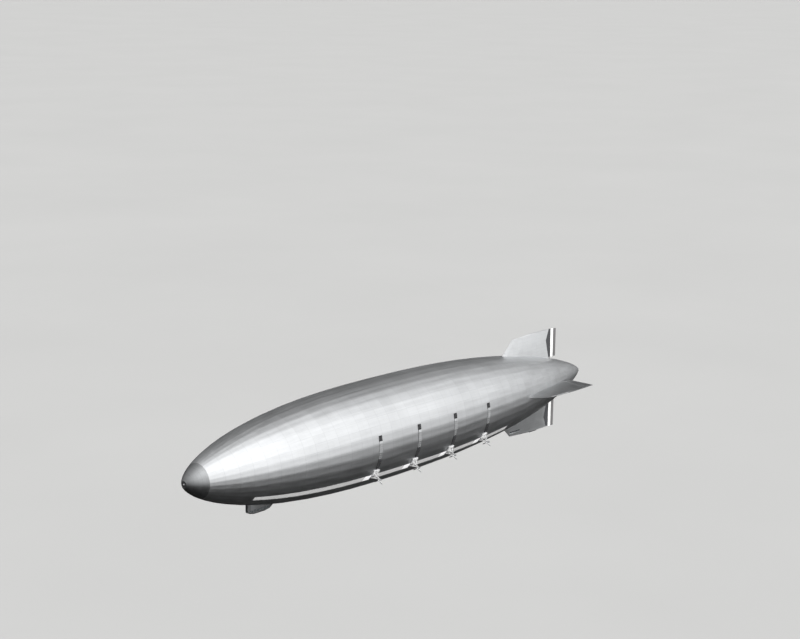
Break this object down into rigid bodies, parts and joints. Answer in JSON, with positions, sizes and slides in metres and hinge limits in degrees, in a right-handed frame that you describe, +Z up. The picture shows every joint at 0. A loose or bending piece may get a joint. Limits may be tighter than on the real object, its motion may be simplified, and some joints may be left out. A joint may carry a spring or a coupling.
{
  "type": "rigid airship, one-tenth scale model",
  "caption": "Long rigid airship with cross-shaped tail fins, outrigger propellers, a control car and a belly hangar.",
  "frame": {"origin": "on the hull's axis at the frame where the lift acts, the mount lift_point", "axes": "+X forward to the nose, +Y to port, +Z up"},
  "size_m": [23.93, 4.4182, 4.5303],
  "materials": {
    "envelope_cloth": "aluminium-doped cotton cloth, satin",
    "tail_cloth": "aluminium-doped cotton cloth, satin",
    "sheet_metal": "painted aluminium sheet, satin",
    "steel": "dull steel",
    "window_glass": "clear, slightly grey",
    "wood": "varnished",
    "rubber": "matt black",
    "outrigger_metal": "aluminium paint",
    "condenser_metal": "dark finned tubes",
    "propeller_metal": "polished",
    "gear_head_metal": "grey paint, satin"
  },
  "bodies": {
    "ship": {"envelope_stern": "envelope_cloth", "envelope_aft": "envelope_cloth", "envelope_middle": "envelope_cloth", "envelope_forward": "envelope_cloth", "envelope_bow": "envelope_cloth", "fin_upper": "tail_cloth", "fin_lower": "tail_cloth", "fin_port": "tail_cloth", "fin_starboard": "tail_cloth", "tail_cone": "tail_cloth", "bow_cap": "sheet_metal", "car_shell": "sheet_metal", "hangar_bay": "sheet_metal", "mooring_spindle": "steel", "car_glazing": "window_glass", "helm": "wood", "tail_bumper": "rubber", "car_bumper": "rubber", "power_unit_port_1": "outrigger_metal", "power_unit_port_2": "outrigger_metal", "power_unit_port_3": "outrigger_metal", "power_unit_port_4": "outrigger_metal", "power_unit_starboard_1": "outrigger_metal", "power_unit_starboard_2": "outrigger_metal", "power_unit_starboard_3": "outrigger_metal", "power_unit_starboard_4": "outrigger_metal", "condenser_port_1": "condenser_metal", "condenser_port_2": "condenser_metal", "condenser_port_3": "condenser_metal", "condenser_port_4": "condenser_metal", "condenser_starboard_1": "condenser_metal", "condenser_starboard_2": "condenser_metal", "condenser_starboard_3": "condenser_metal", "condenser_starboard_4": "condenser_metal"},
    "rudder_upper": {"rudder_upper": "tail_cloth"},
    "rudder_lower": {"rudder_lower": "tail_cloth"},
    "elevator_port": {"elevator_port": "tail_cloth"},
    "elevator_starboard": {"elevator_starboard": "tail_cloth"},
    "hangar_door_port": {"hangar_door_port": "sheet_metal"},
    "hangar_door_starboard": {"hangar_door_starboard": "sheet_metal"},
    "gear_head_port_1": {"gear_head_port_1": "gear_head_metal"},
    "propeller_port_1": {"propeller_port_1": "propeller_metal"},
    "gear_head_port_2": {"gear_head_port_2": "gear_head_metal"},
    "propeller_port_2": {"propeller_port_2": "propeller_metal"},
    "gear_head_port_3": {"gear_head_port_3": "gear_head_metal"},
    "propeller_port_3": {"propeller_port_3": "propeller_metal"},
    "gear_head_port_4": {"gear_head_port_4": "gear_head_metal"},
    "propeller_port_4": {"propeller_port_4": "propeller_metal"},
    "gear_head_starboard_1": {"gear_head_starboard_1": "gear_head_metal"},
    "propeller_starboard_1": {"propeller_starboard_1": "propeller_metal"},
    "gear_head_starboard_2": {"gear_head_starboard_2": "gear_head_metal"},
    "propeller_starboard_2": {"propeller_starboard_2": "propeller_metal"},
    "gear_head_starboard_3": {"gear_head_starboard_3": "gear_head_metal"},
    "propeller_starboard_3": {"propeller_starboard_3": "propeller_metal"},
    "gear_head_starboard_4": {"gear_head_starboard_4": "gear_head_metal"},
    "propeller_starboard_4": {"propeller_starboard_4": "propeller_metal"}
  },
  "joints": [
    {"name": "rudder_upper_turn", "type": "hinge", "parent": "ship", "child": "rudder_upper", "pos_m": [-10.52, 0, 1.6], "axis": [0, 0, 1], "range_deg": [-8, 32]},
    {"name": "rudder_lower_turn", "type": "hinge", "parent": "ship", "child": "rudder_lower", "pos_m": [-10.52, 0, -1.6], "axis": [0, 0, 1], "range_deg": [-8, 32]},
    {"name": "elevator_port_turn", "type": "hinge", "parent": "ship", "child": "elevator_port", "pos_m": [-10.52, 1.6, 0], "axis": [0, 1, 0], "range_deg": [-20, 20]},
    {"name": "elevator_starboard_turn", "type": "hinge", "parent": "ship", "child": "elevator_starboard", "pos_m": [-10.52, -1.6, 0], "axis": [0, 1, 0], "range_deg": [-20, 20]},
    {"name": "door_port_roll", "type": "hinge", "parent": "ship", "child": "hangar_door_port", "pos_m": [3.3, 0, 0], "axis": [1, 0, 0], "range_deg": [0, 13]},
    {"name": "door_starboard_roll", "type": "hinge", "parent": "ship", "child": "hangar_door_starboard", "pos_m": [3.3, 0, 0], "axis": [-1, 0, 0], "range_deg": [0, 13]},
    {"name": "tilt_port_1", "type": "hinge", "parent": "ship", "child": "gear_head_port_1", "pos_m": [2.8, 1.97768, -1.28187], "axis": [0, 1, 0], "range_deg": [0, 90]},
    {"name": "spin_port_1", "type": "hinge", "parent": "gear_head_port_1", "child": "propeller_port_1", "pos_m": [2.8, 1.97768, -1.28187], "axis": [1, 0, 0], "continuous": true},
    {"name": "tilt_port_2", "type": "hinge", "parent": "ship", "child": "gear_head_port_2", "pos_m": [0.55, 1.99494, -1.29636], "axis": [0, 1, 0], "range_deg": [0, 90]},
    {"name": "spin_port_2", "type": "hinge", "parent": "gear_head_port_2", "child": "propeller_port_2", "pos_m": [0.55, 1.99494, -1.29636], "axis": [1, 0, 0], "continuous": true},
    {"name": "tilt_port_3", "type": "hinge", "parent": "ship", "child": "gear_head_port_3", "pos_m": [-1.7, 1.96844, -1.27412], "axis": [0, 1, 0], "range_deg": [0, 90]},
    {"name": "spin_port_3", "type": "hinge", "parent": "gear_head_port_3", "child": "propeller_port_3", "pos_m": [-1.7, 1.96844, -1.27412], "axis": [1, 0, 0], "continuous": true},
    {"name": "tilt_port_4", "type": "hinge", "parent": "ship", "child": "gear_head_port_4", "pos_m": [-3.95, 1.88847, -1.20702], "axis": [0, 1, 0], "range_deg": [0, 90]},
    {"name": "spin_port_4", "type": "hinge", "parent": "gear_head_port_4", "child": "propeller_port_4", "pos_m": [-3.95, 1.88847, -1.20702], "axis": [1, 0, 0], "continuous": true},
    {"name": "tilt_starboard_1", "type": "hinge", "parent": "ship", "child": "gear_head_starboard_1", "pos_m": [2.8, -1.97768, -1.28187], "axis": [0, 1, 0], "range_deg": [0, 90]},
    {"name": "spin_starboard_1", "type": "hinge", "parent": "gear_head_starboard_1", "child": "propeller_starboard_1", "pos_m": [2.8, -1.97768, -1.28187], "axis": [1, 0, 0], "continuous": true},
    {"name": "tilt_starboard_2", "type": "hinge", "parent": "ship", "child": "gear_head_starboard_2", "pos_m": [0.55, -1.99494, -1.29636], "axis": [0, 1, 0], "range_deg": [0, 90]},
    {"name": "spin_starboard_2", "type": "hinge", "parent": "gear_head_starboard_2", "child": "propeller_starboard_2", "pos_m": [0.55, -1.99494, -1.29636], "axis": [1, 0, 0], "continuous": true},
    {"name": "tilt_starboard_3", "type": "hinge", "parent": "ship", "child": "gear_head_starboard_3", "pos_m": [-1.7, -1.96844, -1.27412], "axis": [0, 1, 0], "range_deg": [0, 90]},
    {"name": "spin_starboard_3", "type": "hinge", "parent": "gear_head_starboard_3", "child": "propeller_starboard_3", "pos_m": [-1.7, -1.96844, -1.27412], "axis": [1, 0, 0], "continuous": true},
    {"name": "tilt_starboard_4", "type": "hinge", "parent": "ship", "child": "gear_head_starboard_4", "pos_m": [-3.95, -1.88847, -1.20702], "axis": [0, 1, 0], "range_deg": [0, 90]},
    {"name": "spin_starboard_4", "type": "hinge", "parent": "gear_head_starboard_4", "child": "propeller_starboard_4", "pos_m": [-3.95, -1.88847, -1.20702], "axis": [1, 0, 0], "continuous": true}
  ],
  "couplings": [
    {"joint": "rudder_lower_turn", "follows": "rudder_upper_turn", "ratio": 1},
    {"joint": "elevator_starboard_turn", "follows": "elevator_port_turn", "ratio": 1}
  ]
}
